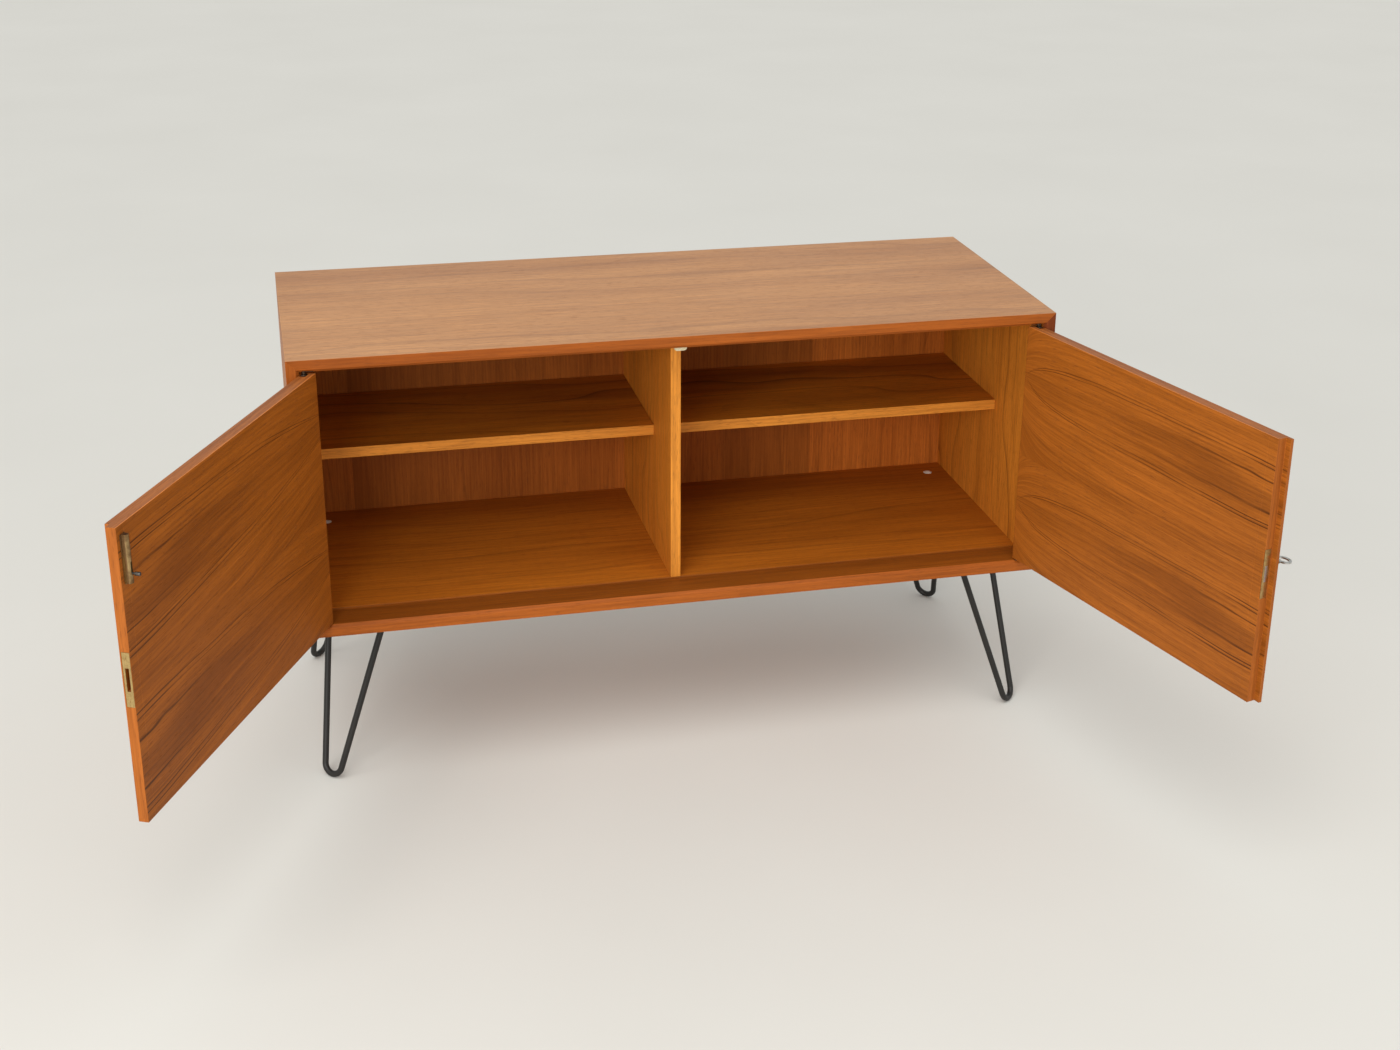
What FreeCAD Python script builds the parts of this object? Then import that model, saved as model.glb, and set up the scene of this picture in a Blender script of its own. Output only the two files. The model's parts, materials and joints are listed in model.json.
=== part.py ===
import FreeCAD, Part
import os
from math import acos, atan2, cos, hypot, sin

# A low cabinet for a television: a mitred teak case on four hairpin legs, two inset doors on pivot
# hinges, a divider and two shelves. The left door has a surface bolt and the strike plate, the right
# door has the lock and its key.
#
# Millimetres. The origin is on the floor under the centre of the case, +X to the right, +Z up, and
# the front faces -Y. The doors are drawn shut and then turned to the angles they rest at.

# ---- case ------------------------------------------------------------------------------------
CASE_WIDTH = 1200.0
CASE_DEPTH = 482.0
CASE_HEIGHT = 448.0
BOARD = 19.0                # thickness of the four outer boards
BEVEL = 4.5                 # bevel on the front inner arris of the four boards
SPLINE_THICK = 4.0
SPLINE_WIDTH = 14.0
SPLINE_END_GAP = 30.0       # from the end of a spline to the edge of the board

# ---- inside ----------------------------------------------------------------------------------
SETBACK = 55.0              # front edges of the floor lining and the divider behind the case front
LINING = 3.0                # thickness of the floor lining
LINING_ARRIS = 0.8
DIVIDER_THICK = 16.0
DIVIDER_CENTRE = -8.5
BACK_THICK = 5.0
BACK_RECESS = 27.0          # from the rear edge of the case to the back panel
BACK_GROOVE = 6.0
BACK_SCREW_FROM_END = 49.0  # from the floor and from the top board; a third is half way
SHELF_THICK = 17.0
SHELF_DEPTH = 264.0
SHELF_REAR_GAP = 2.0
SHELF_SIDE_GAP = 0.6
SHELF_HEIGHT = 239.0        # top of the shelves above the underside of the case
PIN_R = 2.5
PIN_COLLAR_R = 4.0
PIN_COLLAR = 1.2
PIN_IN_WOOD = 7.0
PIN_UNDER_SHELF = 8.0
PIN_FROM_SHELF_EDGE = 38.0
CAP_HEAD_R = 8.0
CAP_HEAD = 2.2
CAP_PLUG_R = 5.5
CAP_PLUG = 8.0
CAP_FROM_SIDE = 54.0
CAP_FROM_REAR = 76.5

# ---- legs ------------------------------------------------------------------------------------
LEG_HEIGHT = 258.0
ROD_R = 5.0
LEG_BEND_R = 17.0           # centre line radius of the bend at the foot
ROD_NEAR = 41.0             # the top of each rod is this far from one edge of the case
ROD_FAR = 120.0             # and this far from the other
FOOT_INSET = 25.0           # the foot is this far inside both edges of the case
LEG_PLATE = 3.0
PLATE_NEAR = 14.0
PLATE_FAR = 134.0
PLATE_CUT = 60.0
PLATE_CORNER_R = 6.0
LEG_SCREW_NEAR = 25.0
LEG_SCREW_FAR = 90.0
LEG_SCREW_INNER = 74.0
LEG_SCREW_R = 2.0
LEG_SCREW_HEAD_R = 4.0
LEG_SCREW_HEAD = 2.2
LEG_SCREW_LENGTH = 16.0

# ---- doors -----------------------------------------------------------------------------------
DOOR_THICK = 19.0
DOOR_SINK = 3.0             # outer face of a shut door behind the case front
DOOR_GAP_END = 3.0          # above and below a door
DOOR_GAP_SIDE = 1.5         # between a door and the side of the case
MEETING_GAP = 1.5
MEETING_X = 0.0             # the joint between the doors, on the outer face
LIP_THICK = 5.0
LIP_REACH = 9.25            # the right door's lip over the left door
LIP_CLEARANCE = 0.5
STILE_WIDTH = 18.0
LEFT_OPEN = 116.0           # how far each door stands open at rest, in degrees
RIGHT_OPEN = 104.5

# ---- pivot hinges ----------------------------------------------------------------------------
PIVOT_FROM_EDGE = 5.5       # pivot axis from the hinge edge of the door
PIVOT_FROM_FACE = 3.0       # pivot axis from the outer face of the door
HINGE_PIN_R = 2.0
HINGE_PIN_REACH = 4.0       # into the door, past its edge
HINGE_FIT = 0.05
HINGE_HOLE_CLEARANCE = 0.6  # round the pin, in the wood
HINGE_PIN_HOLE_SPARE = 1.0  # depth of the hole past the end of the pin
HINGE_COLLAR_R = 3.5
HINGE_END_PLAY = 0.1
LEAF_THICK = 2.0
LEAF_WIDTH = 10.0
LEAF_FROM_FACE = 0.5
LEAF_LENGTH = 13.5          # from the pivot towards the middle of the case
LEAF_EYE_R = 4.0
LEAF_SCREW = 8.5            # from the pivot to the leaf's one screw
SCREW_R = 1.5
SCREW_HEAD_R = 2.9
SCREW_LENGTH = 12.0
SMALL_SCREW_R = 1.2
SMALL_SCREW_HEAD_R = 2.3
SLOT_WIDTH = 0.7
SLOT_DEPTH = 0.6

# ---- surface bolt and its keeper -------------------------------------------------------------
BOLT_FROM_EDGE = 12.5       # centre of the bolt from the free edge of the left door
BOLT_BELOW_TOP = 12.0       # top end of the bolt below the top edge of the door
BOLT_LENGTH = 66.0
BOLT_BASE_WIDTH = 12.0
BOLT_BASE = 1.2
BOLT_BAR_R = 2.25
BOLT_BAR_FIT = 0.1
BOLT_WALL = 1.55
BOLT_BAR_HEIGHT = 5.0       # axis of the bar above the inner face of the door
BOLT_BAR_LENGTH = 60.0
BOLT_TRAVEL = 14.0
KNOB_BELOW_TOP = 63.0
KNOB_STEM_R = 1.6
KNOB_STEM_FIT = 0.2
KNOB_R = 2.6
KNOB_LENGTH = 6.5
KNOB_REACH = 19.0           # end of the knob from the inner face of the door
BODY_PIN_R = 0.7
BODY_PIN_HEAD_R = 0.95
BODY_PIN_HEAD = 0.5
BODY_PIN_LENGTH = 9.0
BODY_PIN_FROM_END = 7.0
KEEPER_WIDTH = 20.0
KEEPER_OFFSET = -4.0        # middle of the keeper to the left of the bolt
KEEPER_DROP = 11.0
KEEPER_CLEARANCE = 0.8      # between the keeper and the inner face of the shut door
KEEPER_DEPTH = 18.2
KEEPER_ROUND = 5.0
KEEPER_HOLE_CLEARANCE = 0.35
KEEPER_SCREW_FROM_REAR = 6.5
KEEPER_SCREW_LENGTH = 21.0

# ---- lock, key and strike plate --------------------------------------------------------------
LOCK_BELOW_TOP = 203.0      # centre of the lock below the top edge of the doors
PLATE_LENGTH = 75.0
PLATE_SCREW_FROM_END = 7.5
FACEPLATE_WIDTH = 11.0
FACEPLATE_THICK = 2.0
STRIKE_WIDTH = 10.5
STRIKE_THICK = 1.5
STRIKE_SLOT_LENGTH = 32.0
STRIKE_SLOT_CLEARANCE = 0.25
STRIKE_POCKET = 10.5
MORTISE_MARGIN = 0.4
LOCK_FROM_INNER = 6.0       # centre of the lock from the inner face of the door
LOCK_THICK = 9.0
LOCK_TALL = 56.0
LOCK_DEEP = 32.0
LOCK_WALL = 1.2
LOCK_FIT = 0.3
DEADBOLT_TALL = 25.0
DEADBOLT_THICK = 4.5
DEADBOLT_HEAD = 12.0
DEADBOLT_TAIL = 18.0
DEADBOLT_TAIL_CLEAR = 0.4   # between the thrown bolt's tail and the face plate
DEADBOLT_TAIL_TALL = 16.0
DEADBOLT_TAIL_THICK = 2.2
DEADBOLT_THROW = 8.0
DEADBOLT_FIT = 0.1
KEY_BACKSET = 16.5
KEY_ABOVE = 5.0             # key axis above the centre of the lock
KEY_R = 2.0
KEY_TIP_R = 1.4
KEY_FIT = 0.1
KEY_BIT = 7.0
KEY_BIT_THICK = 3.0
KEY_BIT_TALL = 2.0
KEY_REACH = 45.0            # end of the bow from the outer face of the door
BOW_LONG = 26.0
BOW_SHORT = 19.0
BOW_THICK = 2.2
BOW_RIM = 4.0
KEY_COLLAR_R = 3.2
KEY_COLLAR = 3.0
KEYHOLE_CLEARANCE = 0.7
KEYHOLE_SLOT_CLEARANCE = 1.2
KEYHOLE_SIDE_CLEARANCE = 0.5
ESCUTCHEON_TALL = 26.0
ESCUTCHEON_WIDTH = 14.0
ESCUTCHEON_THICK = 1.2

# ---- places worked out from the sizes --------------------------------------------------------
X = FreeCAD.Vector(1, 0, 0)
Y = FreeCAD.Vector(0, 1, 0)
Z = FreeCAD.Vector(0, 0, 1)
SAME = 0.001                # measures this close are the same

FRONT = -CASE_DEPTH / 2
REAR = CASE_DEPTH / 2
SIDE = CASE_WIDTH / 2
CASE_BOTTOM = LEG_HEIGHT
CASE_TOP = LEG_HEIGHT + CASE_HEIGHT
INNER_BOTTOM = CASE_BOTTOM + BOARD
INNER_TOP = CASE_TOP - BOARD
INNER_SIDE = SIDE - BOARD
FLOOR_TOP = INNER_BOTTOM + LINING
INSIDE_FRONT = FRONT + SETBACK
BACK_REAR = REAR - BACK_RECESS
BACK_FRONT = BACK_REAR - BACK_THICK
DIVIDER_LEFT = DIVIDER_CENTRE - DIVIDER_THICK / 2
DIVIDER_RIGHT = DIVIDER_CENTRE + DIVIDER_THICK / 2
SHELF_TOP = CASE_BOTTOM + SHELF_HEIGHT
SHELF_UNDER = SHELF_TOP - SHELF_THICK
SHELF_REAR = BACK_FRONT - SHELF_REAR_GAP
SHELF_FRONT = SHELF_REAR - SHELF_DEPTH

DOOR_LOW = INNER_BOTTOM + DOOR_GAP_END
DOOR_HIGH = INNER_TOP - DOOR_GAP_END
DOOR_OUTER = FRONT + DOOR_SINK
DOOR_INNER = DOOR_OUTER + DOOR_THICK
DOOR_EDGE = INNER_SIDE - DOOR_GAP_SIDE
LEFT_FACE_END = MEETING_X - MEETING_GAP / 2
RIGHT_FACE_END = MEETING_X + MEETING_GAP / 2
RIGHT_EDGE = RIGHT_FACE_END + LIP_REACH
LEFT_EDGE = RIGHT_EDGE - MEETING_GAP
LEFT_STILE_START = LEFT_EDGE - STILE_WIDTH
RIGHT_STILE_END = RIGHT_EDGE + STILE_WIDTH
PIVOT_X = DOOR_EDGE - PIVOT_FROM_EDGE
PIVOT_Y = DOOR_OUTER + PIVOT_FROM_FACE

BOLT_X = LEFT_EDGE - BOLT_FROM_EDGE
BOLT_TOP = DOOR_HIGH - BOLT_BELOW_TOP
BOLT_BOTTOM = BOLT_TOP - BOLT_LENGTH
BOLT_HUMP_R = BOLT_BAR_R + BOLT_BAR_FIT + BOLT_WALL
BAR_Y = DOOR_INNER + BOLT_BAR_HEIGHT
KNOB_Z = DOOR_HIGH - KNOB_BELOW_TOP
KEEPER_X = BOLT_X + KEEPER_OFFSET
KEEPER_FRONT = DOOR_INNER + KEEPER_CLEARANCE
KEEPER_REAR = KEEPER_FRONT + KEEPER_DEPTH

LOCK_Y = DOOR_INNER - LOCK_FROM_INNER
LOCK_Z = DOOR_HIGH - LOCK_BELOW_TOP
LOCK_FRONT = LOCK_Y - LOCK_THICK / 2
LOCK_REAR = LOCK_Y + LOCK_THICK / 2
LOCK_START = RIGHT_EDGE + FACEPLATE_THICK
KEY_X = RIGHT_EDGE + KEY_BACKSET
KEY_Z = LOCK_Z + KEY_ABOVE
KEYHOLE_R = KEY_R + KEYHOLE_CLEARANCE
KEYHOLE_SLOT = KEY_BIT + KEYHOLE_SLOT_CLEARANCE
STRIKE_SLOT_WIDTH = DEADBOLT_THICK + 2 * STRIKE_SLOT_CLEARANCE


# ---- simple shapes ---------------------------------------------------------------------------
def point(x, y, z):
    return FreeCAD.Vector(x, y, z)


def block(x0, x1, y0, y1, z0, z1):
    return Part.makeBox(x1 - x0, y1 - y0, z1 - z0, point(x0, y0, z0))


def rod(start, direction, radius, length):
    return Part.makeCylinder(radius, length, start, direction)


def prism(corners, along):
    """A flat outline pushed along a vector."""
    outline = Part.makePolygon(corners + corners[:1])
    return Part.Face(outline).extrude(along)


def join(shapes):
    solid = shapes[0].multiFuse(shapes[1:]) if len(shapes) > 1 else shapes[0]
    return solid.removeSplitter()


def runs_along(edge, axis):
    """True for a straight edge that is parallel to a unit axis."""
    return abs(edge.tangentAt(edge.FirstParameter).dot(axis)) > 1 - SAME


def group(shapes):
    """Separate pieces of one kind, kept together in one node."""
    return Part.makeCompound(shapes)


def screw(head, direction, radius, head_radius, length, slotted=True):
    """A countersunk screw: the centre of its head's face, and the way it points."""
    taper = head_radius - radius
    cone = Part.makeCone(head_radius, radius, taper, head, direction)
    shank = rod(head + direction * taper, direction, radius, length - taper)
    body = join([cone, shank])
    if not slotted:
        return body
    across = Z if abs(direction.z) < 0.5 else X
    side = direction.cross(across)
    corner = head - across * (2 * head_radius) - side * (SLOT_WIDTH / 2)
    corners = [
        corner,
        corner + across * (4 * head_radius),
        corner + across * (4 * head_radius) + side * SLOT_WIDTH,
        corner + side * SLOT_WIDTH,
    ]
    return body.cut(prism(corners, direction * SLOT_DEPTH))


def screws_at(heads, direction, radius, head_radius, length):
    """The screws as they are, and the same screws without slots, for cutting their holes."""
    made = [screw(head, direction, radius, head_radius, length) for head in heads]
    holes = [screw(head, direction, radius, head_radius, length, slotted=False) for head in heads]
    return made, holes


def opened_left(shape):
    turned = shape.copy()
    turned.rotate(point(-PIVOT_X, PIVOT_Y, 0), Z, -LEFT_OPEN)
    return turned


def opened_right(shape):
    turned = shape.copy()
    turned.rotate(point(PIVOT_X, PIVOT_Y, 0), Z, RIGHT_OPEN)
    return turned


# ---- case boards -----------------------------------------------------------------------------
def case_board(length):
    """A board along X with its outer face at z=0, a bevelled front arris and mitred ends."""
    half = length / 2
    section = [
        point(-half, FRONT, 0),
        point(-half, REAR, 0),
        point(-half, REAR, -BOARD),
        point(-half, FRONT + BEVEL, -BOARD),
        point(-half, FRONT, BEVEL - BOARD),
    ]
    plank = prism(section, X * length)
    mitred = [
        point(-half, FRONT, 0),
        point(half, FRONT, 0),
        point(half - BOARD, FRONT, -BOARD),
        point(BOARD - half, FRONT, -BOARD),
    ]
    groove = block(-half, half, BACK_FRONT, BACK_REAR, -BOARD, BACK_GROOVE - BOARD)
    return plank.common(prism(mitred, Y * CASE_DEPTH)).cut(groove)


def placed_board(length, turn, centre):
    board = case_board(length)
    board.rotate(point(0, 0, 0), Y, turn)
    board.translate(centre)
    return board


def corner_splines():
    """A plywood strip in each mitre, square across the joint."""
    strips = []
    middle_z = (CASE_BOTTOM + CASE_TOP) / 2
    for side in (-1, 1):
        for level in (-1, 1):
            strip = block(
                -SPLINE_WIDTH / 2, SPLINE_WIDTH / 2,
                FRONT + SPLINE_END_GAP, REAR - SPLINE_END_GAP,
                -SPLINE_THICK / 2, SPLINE_THICK / 2,
            )
            strip.rotate(point(0, 0, 0), Y, 45 * side * level)
            centre_x = side * (SIDE - BOARD / 2)
            centre_z = middle_z + level * (CASE_HEIGHT - BOARD) / 2
            strip.translate(point(centre_x, 0, centre_z))
            strips.append(strip)
    return strips


# ---- inside the case -------------------------------------------------------------------------
def back_panel():
    return block(
        -INNER_SIDE - BACK_GROOVE, INNER_SIDE + BACK_GROOVE, BACK_FRONT, BACK_REAR,
        INNER_BOTTOM - BACK_GROOVE, INNER_TOP + BACK_GROOVE,
    )


def floor_lining():
    section = [
        point(-INNER_SIDE, INSIDE_FRONT, INNER_BOTTOM),
        point(-INNER_SIDE, BACK_FRONT, INNER_BOTTOM),
        point(-INNER_SIDE, BACK_FRONT, FLOOR_TOP),
        point(-INNER_SIDE, INSIDE_FRONT + LINING_ARRIS, FLOOR_TOP),
        point(-INNER_SIDE, INSIDE_FRONT, FLOOR_TOP - LINING_ARRIS),
    ]
    return prism(section, X * (2 * INNER_SIDE))


def shelf(left, right):
    return block(
        left + SHELF_SIDE_GAP, right - SHELF_SIDE_GAP, SHELF_FRONT, SHELF_REAR,
        SHELF_UNDER, SHELF_TOP,
    )


def shelf_pin(wall_x, inward, y):
    """A pin in a wall: its shank in the wood, a collar, and the stub that the shelf rests on."""
    z = SHELF_UNDER - PIN_R
    shank = rod(point(wall_x - inward * PIN_IN_WOOD, y, z), X * inward, PIN_R,
                PIN_IN_WOOD + PIN_UNDER_SHELF)
    collar = rod(point(wall_x, y, z), X * inward, PIN_COLLAR_R, PIN_COLLAR)
    reach = PIN_COLLAR_R
    clear_of_shelf = block(wall_x - reach, wall_x + reach, y - reach, y + reach,
                           SHELF_UNDER, SHELF_UNDER + reach)
    return join([shank, collar]).cut(clear_of_shelf)


def shelf_pins():
    walls = [(-INNER_SIDE, 1), (DIVIDER_LEFT, -1), (DIVIDER_RIGHT, 1), (INNER_SIDE, -1)]
    rows = [SHELF_FRONT + PIN_FROM_SHELF_EDGE, SHELF_REAR - PIN_FROM_SHELF_EDGE]
    return [shelf_pin(wall_x, inward, y) for wall_x, inward in walls for y in rows]


def cap_centre(side):
    return point(side * (SIDE - CAP_FROM_SIDE), REAR - CAP_FROM_REAR, FLOOR_TOP)


def cap_plug(side):
    return rod(cap_centre(side), -Z, CAP_PLUG_R, CAP_PLUG)


def floor_cap(side):
    """A shallow domed cap whose plug fills a hole in the floor."""
    sphere_r = (CAP_HEAD_R ** 2 + CAP_HEAD ** 2) / (2 * CAP_HEAD)
    centre = cap_centre(side)
    sphere = Part.makeSphere(sphere_r, centre + Z * (CAP_HEAD - sphere_r))
    dome = sphere.common(rod(centre, Z, CAP_HEAD_R, CAP_HEAD))
    return join([dome, cap_plug(side)])


# ---- legs ------------------------------------------------------------------------------------
def leg_point(side, end, inset_x, inset_y, z):
    """A point near one corner of the case: side is -1 left or 1 right, end is -1 front or 1 rear."""
    return point(side * (SIDE - inset_x), end * (REAR - inset_y), z)


def hairpin_rod(side, end):
    """One rod, down to the foot, round the bend and up again, in a plane that leans outwards."""
    top_z = LEG_HEIGHT - LEG_PLATE
    near_top = leg_point(side, end, ROD_NEAR, ROD_FAR, top_z)
    far_top = leg_point(side, end, ROD_FAR, ROD_NEAR, top_z)
    foot = leg_point(side, end, FOOT_INSET, FOOT_INSET, ROD_R)
    middle = (near_top + far_top) * 0.5
    across = (far_top - near_top).normalize()
    up = (middle - foot).normalize()
    bend_centre = foot + up * LEG_BEND_R

    half_spread = (far_top - near_top).Length / 2
    rise = (middle - bend_centre).Length
    tangent = atan2(rise, half_spread) - acos(LEG_BEND_R / hypot(rise, half_spread))
    reach = across * (LEG_BEND_R * cos(tangent))
    lift = up * (LEG_BEND_R * sin(tangent))
    near_bend = bend_centre - reach + lift
    far_bend = bend_centre + reach + lift

    # each straight runs past the plate and is cut off level under it
    spare = 4 * ROD_R
    near_start = near_top + (near_top - near_bend).normalize() * spare
    far_finish = far_top + (far_top - far_bend).normalize() * spare
    path = Part.Wire([
        Part.LineSegment(near_start, near_bend).toShape(),
        Part.Arc(near_bend, foot, far_bend).toShape(),
        Part.LineSegment(far_bend, far_finish).toShape(),
    ])
    section = Part.Wire([Part.Circle(near_start, near_bend - near_start, ROD_R).toShape()])
    bent = path.makePipeShell([section], True, False)
    margin = 2 * spare
    over = block(
        min(near_top.x, far_top.x) - margin, max(near_top.x, far_top.x) + margin,
        min(near_top.y, far_top.y) - margin, max(near_top.y, far_top.y) + margin,
        top_z, top_z + margin,
    )
    return bent.cut(over)


def leg_screw_spots(side, end):
    insets = [
        (LEG_SCREW_NEAR, LEG_SCREW_NEAR),
        (LEG_SCREW_FAR, LEG_SCREW_NEAR),
        (LEG_SCREW_NEAR, LEG_SCREW_FAR),
        (LEG_SCREW_INNER, LEG_SCREW_INNER),
    ]
    return [leg_point(side, end, x, y, LEG_HEIGHT - LEG_PLATE) for x, y in insets]


def leg_plate(side, end):
    insets = [
        (PLATE_NEAR, PLATE_NEAR),
        (PLATE_FAR, PLATE_NEAR),
        (PLATE_FAR, PLATE_CUT),
        (PLATE_CUT, PLATE_FAR),
        (PLATE_NEAR, PLATE_FAR),
    ]
    corners = [leg_point(side, end, x, y, LEG_HEIGHT - LEG_PLATE) for x, y in insets]
    plate = prism(corners, Z * LEG_PLATE)
    plate = plate.makeFillet(PLATE_CORNER_R, [edge for edge in plate.Edges if runs_along(edge, Z)])
    holes = [rod(spot, Z, LEG_SCREW_R, LEG_PLATE) for spot in leg_screw_spots(side, end)]
    return plate.cut(group(holes))


def leg_screws():
    """Pan head screws up through the plates into the bottom board."""
    made = []
    for side in (-1, 1):
        for end in (-1, 1):
            for spot in leg_screw_spots(side, end):
                head = rod(spot - Z * LEG_SCREW_HEAD, Z, LEG_SCREW_HEAD_R, LEG_SCREW_HEAD)
                shank = rod(spot, Z, LEG_SCREW_R, LEG_SCREW_LENGTH)
                made.append(join([head, shank]))
    return made


# ---- pivot hinges ----------------------------------------------------------------------------
# end is 1 at the top of a door and -1 at the bottom; side is -1 on the left and 1 on the right
def leaf_plate(side, z0, z1):
    """A short flat leaf from the pivot towards the middle of the case, with a round eye."""
    eye = rod(point(side * PIVOT_X, PIVOT_Y, z0), Z, LEAF_EYE_R, z1 - z0)
    ends = sorted([side * PIVOT_X, side * (PIVOT_X - LEAF_LENGTH)])
    start_y = DOOR_OUTER + LEAF_FROM_FACE
    plate = block(ends[0], ends[1], start_y, start_y + LEAF_WIDTH, z0, z1)
    return join([eye, plate])


def leaf_screw(side, z, direction):
    head = point(side * (PIVOT_X - LEAF_SCREW), DOOR_OUTER + LEAF_FROM_FACE + LEAF_WIDTH / 2, z)
    return screws_at([head], direction, SCREW_R, SCREW_HEAD_R, SCREW_LENGTH)


def case_leaf_blank(side, end):
    face = INNER_TOP if end > 0 else INNER_BOTTOM
    levels = sorted([face, face + end * LEAF_THICK])
    return leaf_plate(side, levels[0], levels[1])


def case_leaf_screws(side, end):
    return leaf_screw(side, INNER_TOP if end > 0 else INNER_BOTTOM, Z * end)


def case_leaf(side, end):
    """The leaf let into the case, with the collar that carries the door and the pin."""
    face = INNER_TOP if end > 0 else INNER_BOTTOM
    foot = point(side * PIVOT_X, PIVOT_Y, face)
    collar = rod(foot, Z * -end, HINGE_COLLAR_R, DOOR_GAP_END - HINGE_END_PLAY)
    pin = rod(foot, Z * -end, HINGE_PIN_R, DOOR_GAP_END + HINGE_PIN_REACH)
    holes = case_leaf_screws(side, end)[1]
    return join([case_leaf_blank(side, end), collar, pin]).cut(group(holes))


def door_leaf_blank(side, end):
    edge = DOOR_HIGH if end > 0 else DOOR_LOW
    levels = sorted([edge, edge - end * LEAF_THICK])
    return leaf_plate(side, levels[0], levels[1])


def door_leaf_screws(side, end):
    return leaf_screw(side, DOOR_HIGH if end > 0 else DOOR_LOW, Z * -end)


def door_leaf(side, end):
    """The leaf let into the end of the door, bored for the pin."""
    edge = DOOR_HIGH if end > 0 else DOOR_LOW
    bore = rod(point(side * PIVOT_X, PIVOT_Y, edge), Z * -end, HINGE_PIN_R + HINGE_FIT, LEAF_THICK)
    holes = door_leaf_screws(side, end)[1]
    return door_leaf_blank(side, end).cut(group(holes + [bore]))


def door_hinge_cuts(side):
    """What the hinges take out of a door: leaf recesses, pin holes and screw holes."""
    cuts = []
    for end in (-1, 1):
        edge = DOOR_HIGH if end > 0 else DOOR_LOW
        start = point(side * PIVOT_X, PIVOT_Y, edge)
        cuts.append(door_leaf_blank(side, end))
        depth = HINGE_PIN_REACH + HINGE_PIN_HOLE_SPARE
        cuts.append(rod(start, Z * -end, HINGE_PIN_R + HINGE_HOLE_CLEARANCE, depth))
        cuts += door_leaf_screws(side, end)[1]
    return cuts


# ---- surface bolt ----------------------------------------------------------------------------
def bolt_pin_heads():
    """The small pins through the flanges of the bolt body, two near each end."""
    reach = (BOLT_BASE_WIDTH / 2 + BOLT_HUMP_R) / 2
    levels = [BOLT_TOP - BODY_PIN_FROM_END, BOLT_BOTTOM + BODY_PIN_FROM_END]
    y = DOOR_INNER + BOLT_BASE
    return [point(BOLT_X + side * reach, y, z) for side in (-1, 1) for z in levels]


def bolt_pin_holes(depth):
    return [rod(head, -Y, BODY_PIN_R, depth) for head in bolt_pin_heads()]


def bolt_body_pins():
    made = []
    for head in bolt_pin_heads():
        cap = rod(head, Y, BODY_PIN_HEAD_R, BODY_PIN_HEAD)
        made.append(join([cap, rod(head, -Y, BODY_PIN_R, BODY_PIN_LENGTH)]))
    return made


def bolt_body():
    """A base with a round lower end, a half-round hump over the bar, and a slot for the knob."""
    half = BOLT_BASE_WIDTH / 2
    base = join([
        block(BOLT_X - half, BOLT_X + half, DOOR_INNER, DOOR_INNER + BOLT_BASE,
              BOLT_BOTTOM + half, BOLT_TOP),
        rod(point(BOLT_X, DOOR_INNER, BOLT_BOTTOM + half), Y, half, BOLT_BASE),
    ])
    hump_low = BOLT_BOTTOM + half - BOLT_HUMP_R
    tall = BOLT_TOP - hump_low
    round_part = rod(point(BOLT_X, BAR_Y, hump_low), Z, BOLT_HUMP_R, tall)
    web = block(BOLT_X - BOLT_HUMP_R, BOLT_X + BOLT_HUMP_R, DOOR_INNER, BAR_Y, hump_low, BOLT_TOP)
    channel_low = BOLT_TOP - BOLT_BAR_LENGTH - BOLT_BAR_FIT
    channel = rod(point(BOLT_X, BAR_Y, channel_low), Z, BOLT_BAR_R + BOLT_BAR_FIT,
                  BOLT_TOP - channel_low)
    slot_half = KNOB_STEM_R + KNOB_STEM_FIT
    slot = join([
        rod(point(BOLT_X, BAR_Y, KNOB_Z), Y, slot_half, 2 * BOLT_HUMP_R),
        rod(point(BOLT_X, BAR_Y, KNOB_Z + BOLT_TRAVEL), Y, slot_half, 2 * BOLT_HUMP_R),
        block(BOLT_X - slot_half, BOLT_X + slot_half, BAR_Y, BAR_Y + 2 * BOLT_HUMP_R,
              KNOB_Z, KNOB_Z + BOLT_TRAVEL),
    ])
    return join([base, round_part, web]).cut(group([channel, slot] + bolt_pin_holes(BOLT_BASE)))


def bolt_bar():
    """The round bar with the knob that a finger pushes."""
    low = BOLT_TOP - BOLT_BAR_LENGTH
    bar = rod(point(BOLT_X, BAR_Y, low), Z, BOLT_BAR_R, BOLT_BAR_LENGTH)
    knob_end = DOOR_INNER + KNOB_REACH
    stem = rod(point(BOLT_X, BAR_Y, KNOB_Z), Y, KNOB_STEM_R, knob_end - BAR_Y)
    knob = rod(point(BOLT_X, knob_end - KNOB_LENGTH, KNOB_Z), Y, KNOB_R, KNOB_LENGTH)
    rim = [edge for edge in knob.Edges if edge.BoundBox.YMin > knob_end - SAME]
    return join([bar, stem, knob.makeFillet(KNOB_R / 3, rim)])


def keeper_screw_parts():
    head = point(KEEPER_X, KEEPER_REAR - KEEPER_SCREW_FROM_REAR, INNER_TOP - KEEPER_DROP)
    return screws_at([head], Z, SCREW_R, SCREW_HEAD_R, KEEPER_SCREW_LENGTH)


def bolt_keeper():
    """The block under the top board that stops the left door and takes the bolt."""
    half = KEEPER_WIDTH / 2
    body = block(KEEPER_X - half, KEEPER_X + half, KEEPER_FRONT, KEEPER_REAR,
                 INNER_TOP - KEEPER_DROP, INNER_TOP)
    low_edges = [
        edge for edge in body.Edges
        if runs_along(edge, Y) and edge.BoundBox.ZMax < INNER_TOP - KEEPER_DROP / 2
    ]
    hole = rod(point(BOLT_X, BAR_Y, INNER_TOP - KEEPER_DROP), Z,
               BOLT_BAR_R + KEEPER_HOLE_CLEARANCE, KEEPER_DROP)
    return body.makeFillet(KEEPER_ROUND, low_edges).cut(group(keeper_screw_parts()[1] + [hole]))


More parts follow.
